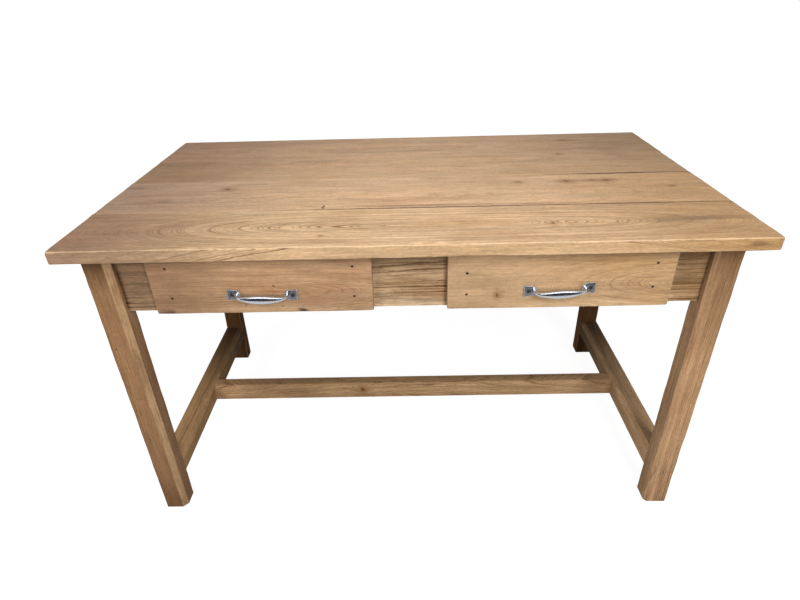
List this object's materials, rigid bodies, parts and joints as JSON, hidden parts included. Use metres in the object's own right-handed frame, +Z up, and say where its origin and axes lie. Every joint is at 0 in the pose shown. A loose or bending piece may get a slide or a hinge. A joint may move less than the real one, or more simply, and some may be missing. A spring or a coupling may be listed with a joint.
{
  "type": "kitchen table",
  "caption": "Rectangular plank-top kitchen table with square legs, low H-shaped stretchers and two nailed front drawers with cast bow pulls.",
  "frame": {"origin": "on the floor, under the middle of the top", "axes": "+X along the table's length to the right of someone facing the drawers, +Y from the drawer side to the back, +Z up"},
  "size_m": [1.388, 0.788, 0.77],
  "materials": {
    "top_wood": "worn, oiled",
    "frame_wood": "weathered, matt",
    "drawer_front_wood": "smooth, matt",
    "inner_wood": "bare",
    "fastener_steel": "dull",
    "handle_metal": "bright, cast"
  },
  "bodies": {
    "frame": {"top_board_front": "top_wood", "top_board_second": "top_wood", "top_board_third": "top_wood", "top_board_rear": "top_wood", "top_tongue_front": "inner_wood", "top_tongue_middle": "inner_wood", "top_tongue_rear": "inner_wood", "leg_front_left": "frame_wood", "leg_front_right": "frame_wood", "leg_rear_left": "frame_wood", "leg_rear_right": "frame_wood", "apron_front": "frame_wood", "apron_rear": "frame_wood", "apron_left": "frame_wood", "apron_right": "frame_wood", "stretcher_left": "frame_wood", "stretcher_right": "frame_wood", "stretcher_centre": "frame_wood", "runner_left_outer": "inner_wood", "runner_left_inner": "inner_wood", "runner_right_outer": "inner_wood", "runner_right_inner": "inner_wood", "kicker_left_outer": "inner_wood", "kicker_left_inner": "inner_wood", "kicker_right_outer": "inner_wood", "kicker_right_inner": "inner_wood", "top_buttons": "inner_wood", "button_screws": "fastener_steel"},
    "drawer_left": {"drawer_left_front": "drawer_front_wood", "drawer_left_side_outer": "inner_wood", "drawer_left_side_inner": "inner_wood", "drawer_left_back": "inner_wood", "drawer_left_bottom": "inner_wood", "drawer_left_nails": "fastener_steel", "drawer_left_handle": "handle_metal", "drawer_left_handle_screws": "fastener_steel"},
    "drawer_right": {"drawer_right_front": "drawer_front_wood", "drawer_right_side_outer": "inner_wood", "drawer_right_side_inner": "inner_wood", "drawer_right_back": "inner_wood", "drawer_right_bottom": "inner_wood", "drawer_right_nails": "fastener_steel", "drawer_right_handle": "handle_metal", "drawer_right_handle_screws": "fastener_steel"}
  },
  "joints": [
    {"name": "drawer_left_slide", "type": "slide", "parent": "frame", "child": "drawer_left", "axis": [0, -1, 0], "range_m": [0, 0.36]},
    {"name": "drawer_right_slide", "type": "slide", "parent": "frame", "child": "drawer_right", "axis": [0, -1, 0], "range_m": [0, 0.36]}
  ]
}
